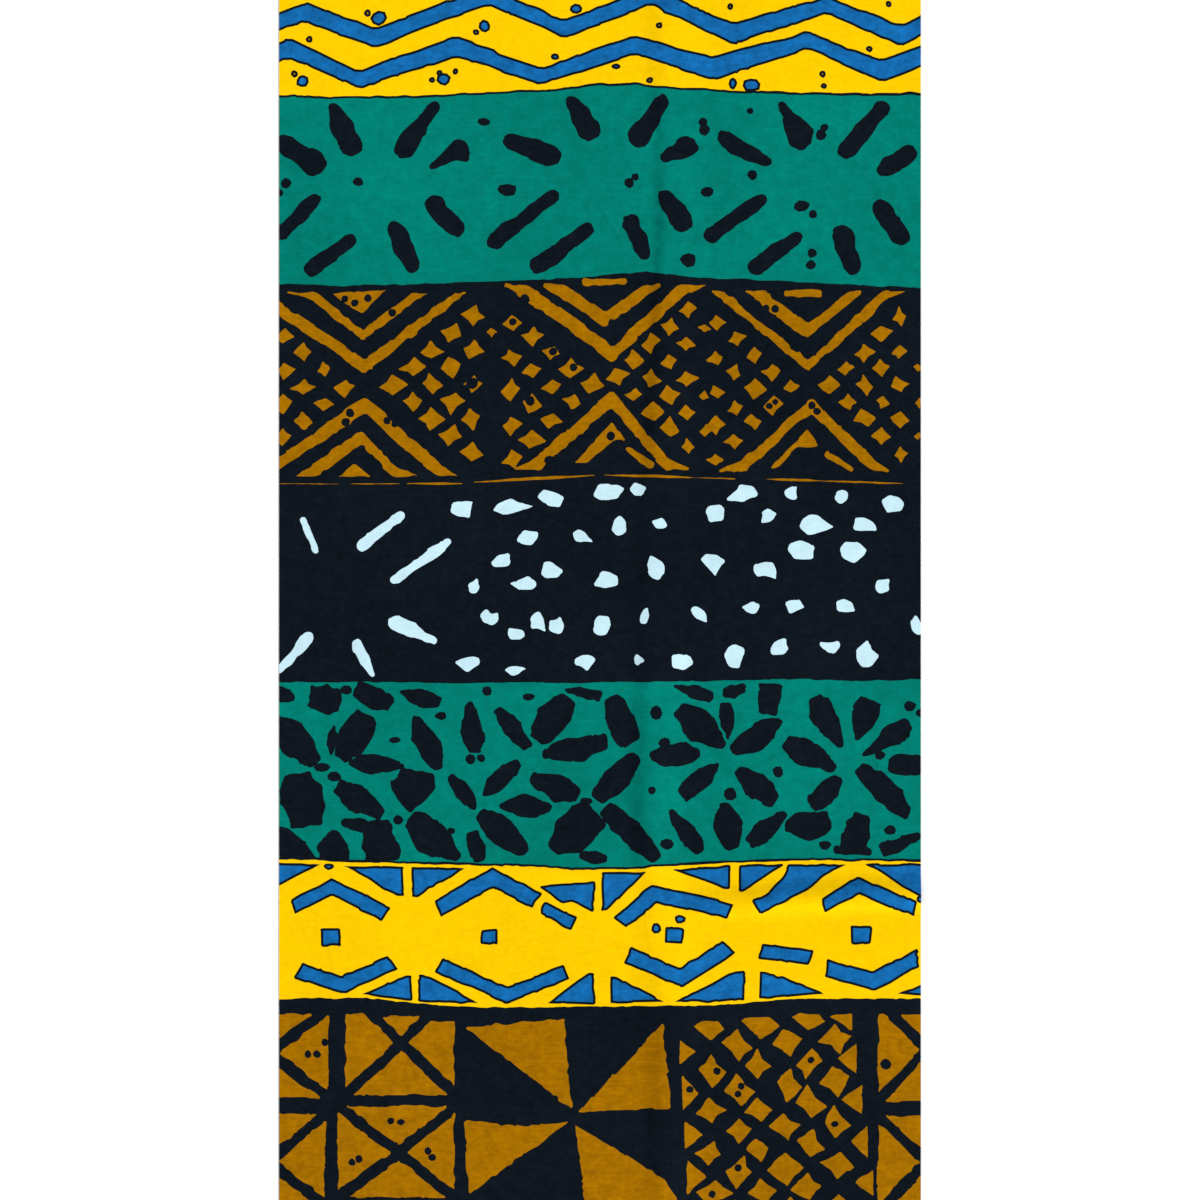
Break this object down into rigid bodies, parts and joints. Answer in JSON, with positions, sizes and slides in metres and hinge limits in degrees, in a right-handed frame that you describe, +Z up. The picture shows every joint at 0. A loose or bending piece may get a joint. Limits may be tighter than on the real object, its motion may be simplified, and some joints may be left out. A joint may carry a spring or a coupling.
{
  "type": "wax print fabric",
  "caption": "Flat cut length of wax-printed cotton with bands of bold geometric motifs, laid face up, with soft press folds.",
  "frame": {"origin": "the middle of the cloth, on the surface that it lies on", "axes": "+X across the cut width, +Y along the length towards the far selvedge, +Z up out of the printed face"},
  "size_m": [0.457, 1.143, 0.004],
  "materials": {
    "printed_cotton": "plain-woven cotton, dyed through in yellow, blue, green, ochre, white and blue-black, with a faint calendered sheen"
  },
  "bodies": {
    "root": {"cloth": "printed_cotton"}
  },
  "joints": []
}
